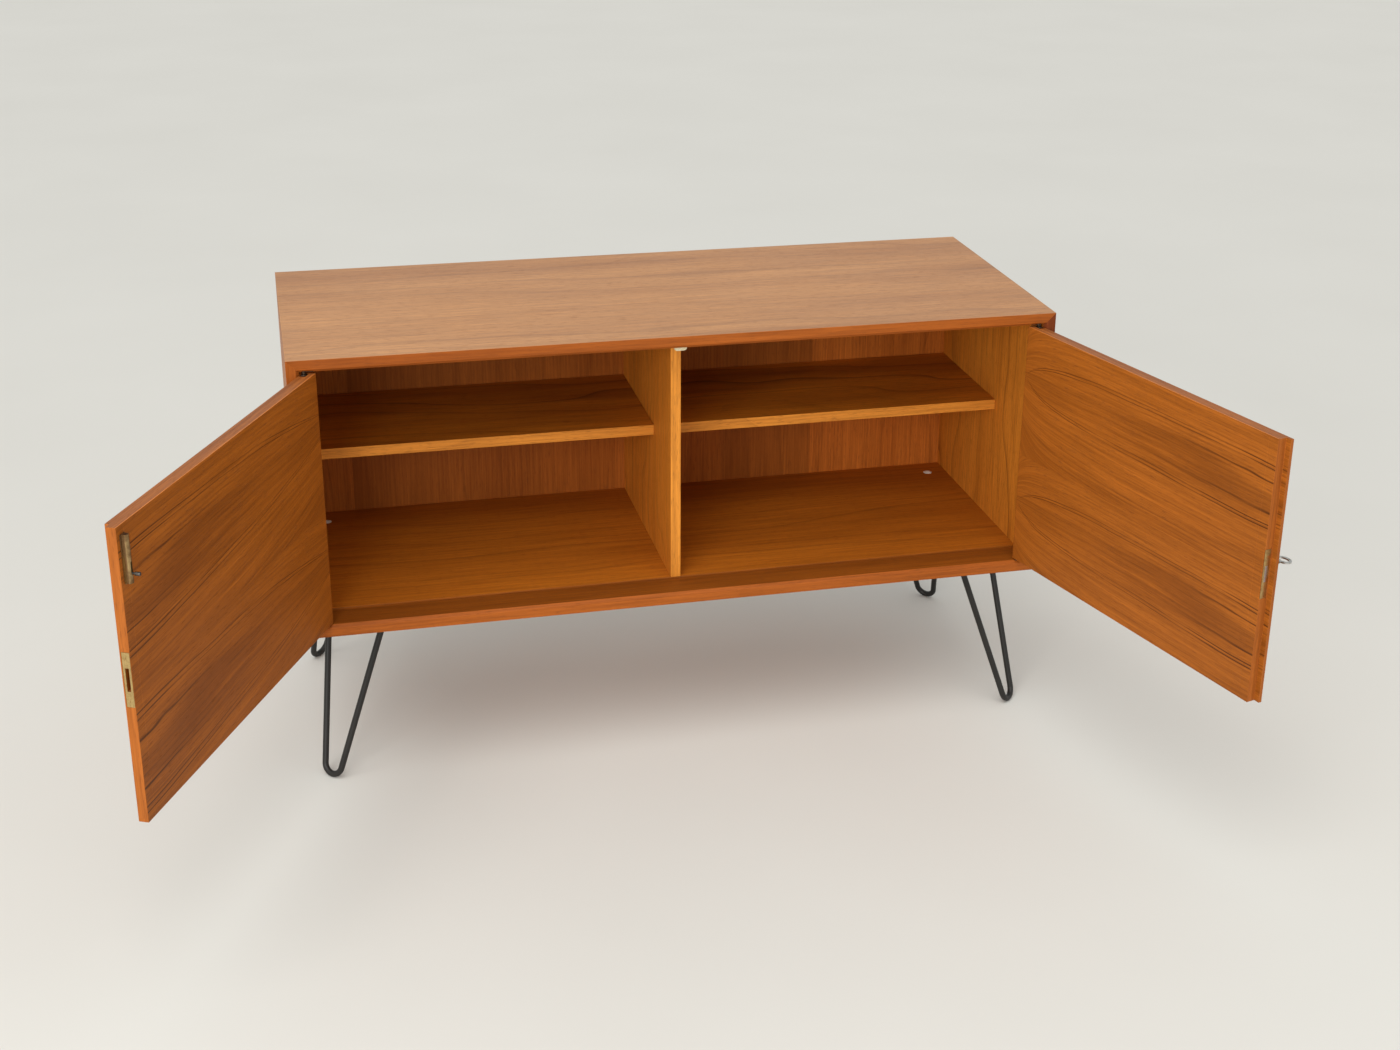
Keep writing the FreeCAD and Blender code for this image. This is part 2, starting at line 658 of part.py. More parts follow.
# ---- strike plate and lock -------------------------------------------------------------------
def edge_plate(x0, x1, width, margin=0.0):
    """A plate with square ends let into the edge of a door, or its recess when there is a margin."""
    tall = PLATE_LENGTH / 2 + margin
    wide = width / 2 + margin
    return block(x0, x1, LOCK_Y - wide, LOCK_Y + wide, LOCK_Z - tall, LOCK_Z + tall)


def plate_screw_parts(x, direction):
    reach = PLATE_LENGTH / 2 - PLATE_SCREW_FROM_END
    heads = [point(x, LOCK_Y, LOCK_Z + end * reach) for end in (-1, 1)]
    return screws_at(heads, direction, SMALL_SCREW_R, SMALL_SCREW_HEAD_R, SCREW_LENGTH)


def strike_pocket(depth):
    """The slot through the strike plate and the pocket behind it, from the edge inwards."""
    return block(
        LEFT_EDGE - depth, LEFT_EDGE, LOCK_Y - STRIKE_SLOT_WIDTH / 2, LOCK_Y + STRIKE_SLOT_WIDTH / 2,
        LOCK_Z - STRIKE_SLOT_LENGTH / 2, LOCK_Z + STRIKE_SLOT_LENGTH / 2,
    )


def strike_plate():
    plate = edge_plate(LEFT_EDGE - STRIKE_THICK, LEFT_EDGE, STRIKE_WIDTH)
    return plate.cut(group(plate_screw_parts(LEFT_EDGE, -X)[1])).cut(strike_pocket(STRIKE_THICK))


def deadbolt_window(fit):
    """The section of the dead bolt's head, through the face plate."""
    tall = DEADBOLT_TALL / 2 + fit
    wide = DEADBOLT_THICK / 2 + fit
    return block(RIGHT_EDGE, LOCK_START, LOCK_Y - wide, LOCK_Y + wide, LOCK_Z - tall, LOCK_Z + tall)


def lock_faceplate():
    plate = edge_plate(RIGHT_EDGE, LOCK_START, FACEPLATE_WIDTH)
    return plate.cut(group(plate_screw_parts(RIGHT_EDGE, X)[1])).cut(deadbolt_window(DEADBOLT_FIT))


def keyhole(y0, y1):
    """A round hole with a slot below it, along the key."""
    half = KEY_BIT_TALL / 2 + KEYHOLE_SIDE_CLEARANCE
    hole = rod(point(KEY_X, y0, KEY_Z), Y, KEYHOLE_R, y1 - y0)
    slot = block(KEY_X - half, KEY_X + half, y0, y1, KEY_Z - KEYHOLE_SLOT, KEY_Z)
    return join([hole, slot])


def lock_space(margin):
    return block(
        LOCK_START, LOCK_START + LOCK_DEEP + margin, LOCK_FRONT - margin, LOCK_REAR + margin,
        LOCK_Z - LOCK_TALL / 2 - margin, LOCK_Z + LOCK_TALL / 2 + margin,
    )


def lock_case():
    """A folded steel box, open towards the face plate."""
    inside = block(
        LOCK_START, LOCK_START + LOCK_DEEP - LOCK_WALL, LOCK_FRONT + LOCK_WALL, LOCK_REAR - LOCK_WALL,
        LOCK_Z - LOCK_TALL / 2 + LOCK_WALL, LOCK_Z + LOCK_TALL / 2 - LOCK_WALL,
    )
    tip_hole = rod(point(KEY_X, LOCK_REAR - LOCK_WALL, KEY_Z), Y, KEY_TIP_R + KEY_FIT, LOCK_WALL)
    front_hole = keyhole(LOCK_FRONT, LOCK_FRONT + LOCK_WALL)
    return lock_space(0).cut(group([inside, tip_hole, front_hole]))


def lock_deadbolt():
    """The head that shoots into the strike plate, and a thin tail with a slot round the key."""
    wide = DEADBOLT_THICK / 2
    head = block(RIGHT_EDGE, RIGHT_EDGE + DEADBOLT_HEAD, LOCK_Y - wide, LOCK_Y + wide,
                 LOCK_Z - DEADBOLT_TALL / 2, LOCK_Z + DEADBOLT_TALL / 2)
    tail_front = LOCK_FRONT + LOCK_WALL + KEY_FIT
    tail_end = RIGHT_EDGE + DEADBOLT_HEAD + DEADBOLT_TAIL
    half = DEADBOLT_TAIL_TALL / 2
    tail_rear = tail_front + DEADBOLT_TAIL_THICK
    tail_start = LOCK_START + DEADBOLT_THROW + DEADBOLT_TAIL_CLEAR
    tail = block(tail_start, tail_end, tail_front, tail_rear, KEY_Z - half, KEY_Z + half)
    slot_half = KEY_R + KEY_FIT
    slot = block(KEY_X - slot_half, KEY_X + DEADBOLT_THROW + slot_half, tail_front, tail_rear,
                 KEY_Z - slot_half, KEY_Z + slot_half)
    return join([head, tail]).cut(slot)


def lock_key():
    """The bow, the shank through the door, the bit inside the lock and a thin tip."""
    tip_start = LOCK_REAR - LOCK_WALL - KEY_FIT
    bow_end = DOOR_OUTER - KEY_REACH
    bow_y = bow_end + BOW_SHORT / 2
    shank_start = bow_end + BOW_SHORT - BOW_RIM / 2
    shank = rod(point(KEY_X, shank_start, KEY_Z), Y, KEY_R, tip_start - shank_start)
    tip = rod(point(KEY_X, tip_start, KEY_Z), Y, KEY_TIP_R, LOCK_WALL)
    collar = rod(point(KEY_X, shank_start, KEY_Z), Y, KEY_COLLAR_R, KEY_COLLAR)
    bit = block(KEY_X, KEY_X + KEY_BIT, tip_start - KEY_BIT_THICK, tip_start,
                KEY_Z - KEY_BIT_TALL / 2, KEY_Z + KEY_BIT_TALL / 2)
    centre = point(KEY_X, bow_y, KEY_Z - BOW_THICK / 2)
    outer = Part.Ellipse(centre, BOW_LONG / 2, BOW_SHORT / 2).toShape()
    inner = Part.Ellipse(centre, BOW_LONG / 2 - BOW_RIM, BOW_SHORT / 2 - BOW_RIM).toShape()
    ring = Part.Face([Part.Wire(outer), Part.Wire(inner)])
    ring.validate()
    return join([ring.extrude(Z * BOW_THICK), shank, tip, collar, bit])


def key_escutcheon():
    """A long plate with round ends and a keyhole, on the outer face of the right door."""
    y = DOOR_OUTER - ESCUTCHEON_THICK
    half = ESCUTCHEON_WIDTH / 2
    straight = ESCUTCHEON_TALL / 2 - half
    centre_z = KEY_Z - KEYHOLE_SLOT / 3
    plate = join([
        block(KEY_X - half, KEY_X + half, y, DOOR_OUTER, centre_z - straight, centre_z + straight),
        rod(point(KEY_X, y, centre_z - straight), Y, half, ESCUTCHEON_THICK),
        rod(point(KEY_X, y, centre_z + straight), Y, half, ESCUTCHEON_THICK),
    ])
    return plate.cut(keyhole(y, DOOR_OUTER))


# ---- doors -----------------------------------------------------------------------------------
def left_door_panel():
    panel = block(-DOOR_EDGE, LEFT_STILE_START, DOOR_OUTER, DOOR_INNER, DOOR_LOW, DOOR_HIGH)
    return panel.cut(group(door_hinge_cuts(-1) + bolt_pin_holes(BODY_PIN_LENGTH)))


def left_meeting_stile():
    """The solid edge of the left door, rebated for the other door's lip."""
    stile = block(LEFT_STILE_START, LEFT_EDGE, DOOR_OUTER, DOOR_INNER, DOOR_LOW, DOOR_HIGH)
    rebate = block(LEFT_FACE_END, LEFT_EDGE, DOOR_OUTER, DOOR_OUTER + LIP_THICK + LIP_CLEARANCE,
                   DOOR_LOW, DOOR_HIGH)
    recess = edge_plate(LEFT_EDGE - STRIKE_THICK, LEFT_EDGE, STRIKE_WIDTH, MORTISE_MARGIN)
    holes = plate_screw_parts(LEFT_EDGE, -X)[1] + bolt_pin_holes(BODY_PIN_LENGTH)
    return stile.cut(rebate).cut(recess).cut(group(holes + [strike_pocket(STRIKE_POCKET)]))


def right_door_panel():
    panel = block(RIGHT_STILE_END, DOOR_EDGE, DOOR_OUTER, DOOR_INNER, DOOR_LOW, DOOR_HIGH)
    panel = panel.cut(group(door_hinge_cuts(1))).cut(lock_space(LOCK_FIT))
    return panel.cut(keyhole(DOOR_OUTER, LOCK_FRONT))


def right_meeting_stile():
    """The solid edge of the right door, with the lip, the lock's mortise and the keyhole."""
    stile = block(RIGHT_FACE_END, RIGHT_STILE_END, DOOR_OUTER, DOOR_INNER, DOOR_LOW, DOOR_HIGH)
    behind_lip = block(RIGHT_FACE_END, RIGHT_EDGE, DOOR_OUTER + LIP_THICK, DOOR_INNER,
                       DOOR_LOW, DOOR_HIGH)
    recess = edge_plate(RIGHT_EDGE, LOCK_START, FACEPLATE_WIDTH, MORTISE_MARGIN)
    stile = stile.cut(behind_lip).cut(recess).cut(lock_space(LOCK_FIT))
    return stile.cut(group(plate_screw_parts(RIGHT_EDGE, X)[1])).cut(keyhole(DOOR_OUTER, LOCK_FRONT))


# ---- all the nodes ---------------------------------------------------------------------------
def case_nodes():
    middle_z = (CASE_BOTTOM + CASE_TOP) / 2
    ends = [(side, end) for side in (-1, 1) for end in (-1, 1)]
    splines = corner_splines()
    pins = shelf_pins()
    legs_in_wood = leg_screws()
    low_screw = FLOOR_TOP + BACK_SCREW_FROM_END
    high_screw = INNER_TOP - BACK_SCREW_FROM_END
    back_heads = [point(DIVIDER_CENTRE, BACK_REAR, z)
                  for z in (low_screw, (low_screw + high_screw) / 2, high_screw)]
    back_screws, back_holes = screws_at(
        back_heads, -Y, SCREW_R, SCREW_HEAD_R, BACK_THICK + SCREW_LENGTH)
    leaf_screws = []
    leaf_holes = []
    for side, end in ends:
        made, holes = case_leaf_screws(side, end)
        leaf_screws += made
        leaf_holes += holes
    leaf_recesses = [case_leaf_blank(side, end) for side, end in ends]
    keeper_screws, keeper_holes = keeper_screw_parts()
    plugs = [cap_plug(side) for side in (-1, 1)]
    in_boards = group(splines + leaf_recesses + leaf_holes + keeper_holes + plugs + legs_in_wood)
    pin_holes = group(pins)

    nodes = {
        "top_panel": placed_board(CASE_WIDTH, 0, point(0, 0, CASE_TOP)).cut(in_boards),
        "bottom_panel": placed_board(CASE_WIDTH, 180, point(0, 0, CASE_BOTTOM)).cut(in_boards),
        "left_side_panel": placed_board(CASE_HEIGHT, -90, point(-SIDE, 0, middle_z))
        .cut(group(splines)).cut(pin_holes),
        "right_side_panel": placed_board(CASE_HEIGHT, 90, point(SIDE, 0, middle_z))
        .cut(group(splines)).cut(pin_holes),
        "corner_splines": group(splines),
        "centre_divider": block(DIVIDER_LEFT, DIVIDER_RIGHT, INSIDE_FRONT, BACK_FRONT,
                                FLOOR_TOP, INNER_TOP).cut(group(pins + back_holes)),
        "floor_lining": floor_lining().cut(group(plugs)),
        "back_panel": back_panel().cut(group(back_holes)),
        "back_panel_screws": group(back_screws),
        "left_shelf": shelf(-INNER_SIDE, DIVIDER_LEFT),
        "right_shelf": shelf(DIVIDER_RIGHT, INNER_SIDE),
        "shelf_pins": group(pins),
        "left_floor_cap": floor_cap(-1),
        "right_floor_cap": floor_cap(1),
        "bolt_keeper": bolt_keeper(),
        "bolt_keeper_screw": group(keeper_screws),
        "hinge_case_screws": group(leaf_screws),
        "leg_screws": group(leg_screws()),
    }
    for side, side_name in ((-1, "left"), (1, "right")):
        for end, end_name in ((-1, "front"), (1, "rear")):
            nodes[f"{end_name}_{side_name}_leg_rod"] = hairpin_rod(side, end)
            nodes[f"{end_name}_{side_name}_leg_plate"] = leg_plate(side, end)
        for end, end_name in ((-1, "bottom"), (1, "top")):
            nodes[f"{side_name}_{end_name}_hinge_case_leaf"] = case_leaf(side, end)
    return nodes


def door_leaf_nodes(side, side_name):
    bottom_screws = door_leaf_screws(side, -1)[0]
    top_screws = door_leaf_screws(side, 1)[0]
    return {
        f"{side_name}_bottom_hinge_door_leaf": door_leaf(side, -1),
        f"{side_name}_top_hinge_door_leaf": door_leaf(side, 1),
        f"{side_name}_hinge_door_screws": group(bottom_screws + top_screws),
    }


def left_door_nodes():
    shut = {
        "left_door_panel": left_door_panel(),
        "left_door_meeting_stile": left_meeting_stile(),
        "strike_plate": strike_plate(),
        "strike_plate_screws": group(plate_screw_parts(LEFT_EDGE, -X)[0]),
        "bolt_body": bolt_body(),
        "bolt_body_pins": group(bolt_body_pins()),
        "bolt_bar": bolt_bar(),
    }
    shut.update(door_leaf_nodes(-1, "left"))
    return {name: opened_left(shape) for name, shape in shut.items()}


def right_door_nodes():
    shut = {
        "right_door_panel": right_door_panel(),
        "right_door_meeting_stile": right_meeting_stile(),
        "lock_case": lock_case(),
        "lock_faceplate": lock_faceplate(),
        "lock_screws": group(plate_screw_parts(RIGHT_EDGE, X)[0]),
        "key_escutcheon": key_escutcheon(),
        "lock_deadbolt": lock_deadbolt(),
        "key": lock_key(),
    }
    shut.update(door_leaf_nodes(1, "right"))
    return {name: opened_right(shape) for name, shape in shut.items()}


def main():
    os.makedirs("parts", exist_ok=True)
    nodes = {**case_nodes(), **left_door_nodes(), **right_door_nodes()}
    for name, shape in nodes.items():
        if not shape.isValid() or shape.Volume <= 0:
            raise ValueError(f"{name} is not a sound solid")
        shape.exportStep(f"parts/{name}.step")
        print(f"{name:32s} {len(shape.Solids):3d} solids {shape.Volume / 1000:10.2f} cm3")


main()
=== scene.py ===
import json
import math

import bmesh
import bpy
from mathutils import Matrix, Vector


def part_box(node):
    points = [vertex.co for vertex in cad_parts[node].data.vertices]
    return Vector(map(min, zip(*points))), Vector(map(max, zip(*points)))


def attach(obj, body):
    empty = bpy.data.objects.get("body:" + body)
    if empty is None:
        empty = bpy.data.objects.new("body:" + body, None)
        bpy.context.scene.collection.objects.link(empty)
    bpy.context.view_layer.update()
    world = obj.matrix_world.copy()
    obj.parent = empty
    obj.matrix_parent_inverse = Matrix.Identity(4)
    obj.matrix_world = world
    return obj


# The looks of a low teak cabinet on hairpin legs. Metres, in the frame of the CAD model: the floor
# is z=0, the case is along X and its front faces -Y. At rest both doors stand open.
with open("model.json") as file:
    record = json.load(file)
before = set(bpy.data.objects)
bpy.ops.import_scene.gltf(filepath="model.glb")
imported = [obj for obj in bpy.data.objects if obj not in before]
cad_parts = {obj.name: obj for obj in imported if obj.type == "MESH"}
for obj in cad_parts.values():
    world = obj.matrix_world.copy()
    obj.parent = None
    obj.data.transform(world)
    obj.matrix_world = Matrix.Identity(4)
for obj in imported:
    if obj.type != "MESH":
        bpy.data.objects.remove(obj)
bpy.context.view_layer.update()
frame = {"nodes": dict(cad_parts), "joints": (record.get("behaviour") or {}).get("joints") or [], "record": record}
nodes = frame["nodes"]
joints = {joint["name"]: joint for joint in frame["joints"]}


# ---- shader node helper ----------------------------------------------------------------------
class Shader:
    """One material, with short ways to add and join its nodes."""

    def __init__(self, name, **surface):
        self.material = bpy.data.materials.new(name)
        self.material.use_nodes = True
        self.tree = self.material.node_tree
        self.tree.nodes.clear()
        self.surface = self.add("ShaderNodeBsdfPrincipled", surface)
        output = self.add("ShaderNodeOutputMaterial")
        self.feed(output.inputs["Surface"], self.surface.outputs[0])
        self.place = self.add("ShaderNodeTexCoord").outputs["Object"]

    def add(self, kind, values=None, **settings):
        node = self.tree.nodes.new(kind)
        for key, value in settings.items():
            setattr(node, key, value)
        for key, value in (values or {}).items():
            self.feed(node.inputs[key], value)
        return node

    def feed(self, socket, value):
        if isinstance(value, bpy.types.NodeSocket):
            self.tree.links.new(value, socket)
        else:
            socket.default_value = value

    def math(self, operation, first, second=0.0, third=0.0):
        return self.add("ShaderNodeMath", {0: first, 1: second, 2: third}, operation=operation).outputs[0]

    def product(self, first, *others):
        for other in others:
            first = self.math("MULTIPLY", first, other)
        return first

    def split(self, vector):
        return self.add("ShaderNodeSeparateXYZ", {0: vector}).outputs

    def joined(self, x, y, z):
        return self.add("ShaderNodeCombineXYZ", {0: x, 1: y, 2: z}).outputs[0]

    def scaled(self, vector, scale):
        return self.add("ShaderNodeMapping", {"Vector": vector, "Scale": scale}).outputs[0]

    def noise(self, vector, scale=1.0, detail=2.0, roughness=0.5, distortion=0.0):
        values = {"Vector": vector, "Scale": scale, "Detail": detail, "Roughness": roughness,
                  "Distortion": distortion}
        return self.add("ShaderNodeTexNoise", values).outputs["Fac"]

    def random(self, number):
        """The same value from 0 to 1 for every point with this number."""
        return self.add("ShaderNodeTexWhiteNoise", {"W": number}, noise_dimensions="1D").outputs[0]

    def between(self, value, low, high, to_low=0.0, to_high=1.0):
        """The value taken smoothly from low..high to to_low..to_high, and held at the ends."""
        values = {"Value": value, "From Min": low, "From Max": high, "To Min": to_low, "To Max": to_high}
        return self.add("ShaderNodeMapRange", values, interpolation_type="SMOOTHSTEP").outputs[0]

    def ramp(self, factor, *stops):
        node = self.add("ShaderNodeValToRGB", {0: factor})
        elements = node.color_ramp.elements
        while len(elements) < len(stops):
            elements.new(0.5)
        for element, (position, colour) in zip(elements, stops):
            element.position = position
            element.color = (*colour, 1.0)
        return node.outputs[0]

    def mix(self, factor, first, second, blend="MIX"):
        node = self.add("ShaderNodeMix", data_type="RGBA", blend_type=blend)
        colours = [(*value, 1.0) if isinstance(value, tuple) else value for value in (first, second)]
        for number, value in zip((0, 6, 7), (factor, *colours)):
            self.feed(node.inputs[number], value)
        return node.outputs[2]

    def tinted(self, colour, tint):
        return self.mix(1.0, colour, tint, "MULTIPLY")

    def arris(self, radius):
        """The normal with its edges rounded, and how near a point is to such an edge."""
        rounded = self.add("ShaderNodeBevel", {"Radius": radius}, samples=6).outputs[0]
        true = self.add("ShaderNodeNewGeometry").outputs["True Normal"]
        dot = self.add("ShaderNodeVectorMath", {0: rounded, 1: true}, operation="DOT_PRODUCT")
        return rounded, self.between(dot.outputs["Value"], *ARRIS_RANGE)

    def bump(self, height, distance, strength, normal=None):
        values = {"Height": height, "Distance": distance, "Strength": strength}
        if normal:
            values["Normal"] = normal
        self.feed(self.surface.inputs["Normal"], self.add("ShaderNodeBump", values).outputs[0])

    def finish(self, colour, roughness):
        self.feed(self.surface.inputs["Base Color"], colour)
        self.feed(self.surface.inputs["Roughness"], roughness)
        return self.material


def shade(colour, factor):
    return tuple(channel * factor for channel in colour)


def shade_between(first, second, share):
    return tuple(a + (b - a) * share for a, b in zip(first, second))


def grey(value):
    return (value, value, value)


# ---- teak ------------------------------------------------------------------------------------
# A SCALE is in waves to the metre: along the grain, across it and through the board. A pair given to
# between is the values that become 0 and 1. A four is two values and what those become.
LINE = (0.055, 0.013, 0.003)    # late wood, the dark lines of the figure
PORE = (0.15, 0.045, 0.012)
FIBRE_SCALE = (8, 330, 330)
FIBRE_TINTS = (0.30, (0.76, 0.73, 0.70)), (0.70, (1.16, 1.17, 1.18))
PORE_SCALE = (55, 1050, 1050)
PORE_RANGE = (0.60, 0.70)
PORE_STRENGTH = 0.45
WEAR_SCALE = 5
WEAR_RANGE = (0.35, 0.62, 0.35, 0.9)
ARRIS_RADIUS = 0.0011
ARRIS_RANGE = (0.995, 0.86)     # cosine between the rounded normal and the true one
ARRIS_TINT = grey(1.5)          # a worn edge is lighter
FIBRE_ROUGHNESS = 0.14
PORE_ROUGHNESS = 0.20
WEAR_ROUGHNESS = 0.16
WOOD_RELIEF = {"distance": 0.00012, "strength": 0.55}
BAND_SCALE = (0.9, 8.5, 8.5)
WARP_SCALE = 4.2                # across and through; the swirl of a board is its scale along
WARP_REACH = 0.14               # how far a wave of 1 moves the rings, in metres
RING_LEAN = 0.45                # how far the rings lean through the board
RING_WEIGHT = (0.15, 0.85)      # the least weight of a ring, and what chance adds to it
RING_RARITY = 3.0               # the higher this is, the fewer rings are dark
LATE_WOOD_END = (1.0, 0.96)     # each ring stops this suddenly
BAND_STOPS = (0.28, 0.48, 0.70)     # noise at which wood is dark, between and light
BAND_MIDDLE = 0.55              # the tone between, as a share of the way from dark to light
LEAF_STEP = 0.37                # each leaf is cut this much further through the log
BACK_LEAF_SPREAD = 0.24
DOOR_LEAF_SPREAD = 0.03


def wood_surface(shader, grain, colour, gloss=0.42, specular=0.14):
    """Adds what every piece of teak shares to a colour: fibres, pores, worn edges and their bump."""
    fibre = shader.noise(shader.scaled(grain, FIBRE_SCALE), detail=3, roughness=0.62)
    pores = shader.between(shader.noise(shader.scaled(grain, PORE_SCALE), detail=1), *PORE_RANGE)
    colour = shader.tinted(colour, shader.ramp(fibre, *FIBRE_TINTS))
    colour = shader.mix(shader.product(pores, PORE_STRENGTH), colour, PORE)
    wear = shader.noise(shader.place, WEAR_SCALE, detail=4)
    rounded, near_edge = shader.arris(ARRIS_RADIUS)
    worn = shader.product(near_edge, shader.between(wear, *WEAR_RANGE))
    colour = shader.mix(worn, colour, shader.tinted(colour, ARRIS_TINT))
    roughness = shader.math("MULTIPLY_ADD", fibre, FIBRE_ROUGHNESS, gloss - FIBRE_ROUGHNESS / 2)
    roughness = shader.math("MULTIPLY_ADD", pores, PORE_ROUGHNESS, roughness)
    roughness = shader.math("MULTIPLY_ADD", wear, WEAR_ROUGHNESS, roughness)
    height = shader.math("SUBTRACT", shader.product(fibre, 0.5), pores)
    shader.bump(height, **WOOD_RELIEF, normal=rounded)
    shader.surface.inputs["Specular IOR Level"].default_value = specular
    return shader.finish(colour, roughness)


def rings(shader, field, strength, sharpness=5.0):
    """Late wood: each ring darkens towards a sharp edge, and a few of them are much darker."""
    number = shader.math("FLOOR", field)
    within = shader.math("FRACT", field)
    chance = shader.math("POWER", shader.random(number), RING_RARITY)
    least, more = RING_WEIGHT
    weight = shader.math("MULTIPLY_ADD", chance, more, least)
    edge = shader.product(shader.math("POWER", within, sharpness), shader.between(within, *LATE_WOOD_END))
    return shader.product(edge, weight, strength)


def leaf_tint(shader, leaf, spread):
    """Each leaf of veneer is a little lighter or darker than the next."""
    return shader.ramp(shader.random(leaf), (0.0, grey(1 - spread)), (1.0, grey(1 + spread)))


def banded(shader, bands, tones, stops, middle):
    """Bands from the dark tone to the light one, by way of a tone between them."""
    light, dark = tones
    middle_tone = shade_between(dark, light, middle)
    return shader.ramp(bands, *zip(stops, (dark, middle_tone, light)))


def teak(name, order, tones, frequency, contrast, wave=0.9, swirl=1.3, seed=0.0, leaf_width=None, **surface):
    """Teak veneer or board. order gives the grain direction first, then across and through.

    frequency is the rings to the metre and contrast how dark they are; wave is how far they wander
    and swirl how often; seed moves the figure along the grain; leaf_width cuts it into leaves.
    """
    shader = Shader(name)
    axes = dict(zip("XYZ", shader.split(shader.place)))
    along, across, through = (axes[letter] for letter in order)
    along = shader.math("ADD", along, seed)
    if leaf_width:
        leaf = shader.math("FLOOR", shader.math("DIVIDE", across, leaf_width))
        through = shader.math("MULTIPLY_ADD", leaf, LEAF_STEP, through)
    grain = shader.joined(along, across, through)
    bands = shader.noise(shader.scaled(grain, BAND_SCALE), detail=4, roughness=0.55, distortion=0.3)
    warp = shader.noise(shader.scaled(grain, (swirl, WARP_SCALE, WARP_SCALE)), detail=2)
    field = shader.product(shader.math("MULTIPLY_ADD", through, RING_LEAN, across), frequency)
    field = shader.math("MULTIPLY_ADD", warp, frequency * WARP_REACH * wave, field)
    colour = banded(shader, bands, tones, BAND_STOPS, BAND_MIDDLE)
    colour = shader.mix(rings(shader, field, contrast), colour, LINE)
    if leaf_width:
        colour = shader.tinted(colour, leaf_tint(shader, leaf, BACK_LEAF_SPREAD))
    return wood_surface(shader, grain, colour, **surface)


# ---- teak on the doors -----------------------------------------------------------------------
# Lengths along a door are in door widths from the hinge, and heights in door heights from the top
# of the leaf. The spread of the fan is its half height at one place along the door.
LEAF_SHARE = 0.54               # height of one leaf of veneer
SWAY_SCALE = (2.2, 6.0, 6.0)
SWAY_REACH = 0.06               # how far the middle of the fan wanders
FAN_BAND_SCALE = (1.4, 15, 15)
FAN_PATCH_SCALE = (7, 60, 60)
FAN_STREAK_SCALE = (3.0, 95, 95)
FAN_OPENNESS = 0.17             # keeps the fibres apart where the fan is narrow
FAN_GRAIN = 0.11                # scales the fanned measure to metres across the grain
LEAF_OFFSET = 0.004             # each leaf is cut this much further across the grain
FAN_BAND_STOPS = (0.34, 0.50, 0.64)
FAN_BAND_MIDDLE = 0.6
STREAK_SHADE = 1.45             # of the light tone
BROWN_SHARE = 0.62              # from the dark tone towards the dark lines
BRANCH_SHADE = 0.6              # of the dark lines

FINE_LINES = 15.0
FINE_SWAY = 1.6
FINE_START = 60.0               # keeps the numbers of the fine lines above zero
FINE_STRENGTH = 0.8
FINE_SHARPNESS = 4.0
FINE_FADE = (0.0, 0.9, 0.45, 1.0)
FINE_PATCHES = (0.36, 0.54, 0.25, 1.0)
HAIRLINES = 3.3                 # hairlines to a fine line
HAIRLINE_STRENGTH = 0.45
HAIRLINE_SHARPNESS = 2.5

BRANCH = 0.92                   # place of the outer double line, in spreads of the fan
TWIN_GAP = 0.06                 # half the distance between its two lines
TWIN_CORE = 0.004               # half the width of its darkest part
TWIN_MIDDLE = 0.45              # the double line is palest here along the door
TWIN_ENDS = (0.05, 0.5, 0.50, 0.85)
TWIN_PATCHES = (0.30, 0.52, 0.45, 1.0)
INNER_BRANCH = 0.48             # place of the inner line, in spreads of the fan
INNER_RAGGED = 0.30
INNER_WIDTH = 1.6               # times the width of an outer line
INNER_CORE = 0.006
INNER_FADE = (0.45, 0.95, 0.0, 0.8)
INNER_STREAKS = (0.40, 0.52, 0.45, 1.0)
BROWN_INSIDE = (-0.10, -0.80)
BROWN_FADE = (0.35, 1.0, 0.2, 1.0)
BROWN_STREAKS = (0.56, 0.42)
LIGHT_STREAKS = (0.42, 0.66, 0.0, 0.22)

RAIL_STREAK_SCALE = (2.5, 190, 60)
RAIL_STOPS = (0.32, 0.68)
RAIL_HIGHLIGHT = (0.0022, 0.0008)   # the painted highlight begins, and is full, this far from the inner face
RAIL_HIGHLIGHT_STRENGTH = 0.75
RAIL_HIGHLIGHT_FACTOR = 1.8          # of the light tone, the brightness of the painted highlight


class Door:
    """Where a door lies at rest, and its size in axes that turn with it.

    side is -1 for the left door and 1 for the right one. inner is where the inner face looks.
    """

    def __init__(self, side, joint_name, panel, stile):
        joint = joints[joint_name]
        self.side = side
        self.nodes = (panel, stile)
        self.pivot = Vector(joint["pos_m"])
        self.opened = side * math.radians(joint["range_deg"][1])
        self.closing = Matrix.Rotation(-self.opened, 3, "Z")
        self.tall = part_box(panel)[1].z - self.pivot.z
        low, high = self.local_box(stile)
        self.width = max(abs(low.x), abs(high.x))
        self.back = high.y
        self.inner = Matrix.Rotation(self.opened, 3, "Z") @ REAR

    def local_box(self, name):
        points = [self.closing @ (vertex.co - self.pivot) for vertex in nodes[name].data.vertices]
        low = Vector(min(point[axis] for point in points) for axis in range(3))
        high = Vector(max(point[axis] for point in points) for axis in range(3))
        return low, high

    def coordinates(self, shader):
        """Distance from the hinge, distance behind the pivot, and height above the pivot."""
        values = {"Vector": shader.place, "Rotation": (0, 0, -self.opened),
                  "Location": tuple(self.closing @ -self.pivot)}
        x, y, z = shader.split(shader.add("ShaderNodeMapping", values).outputs[0])
        return shader.product(x, -self.side), y, z


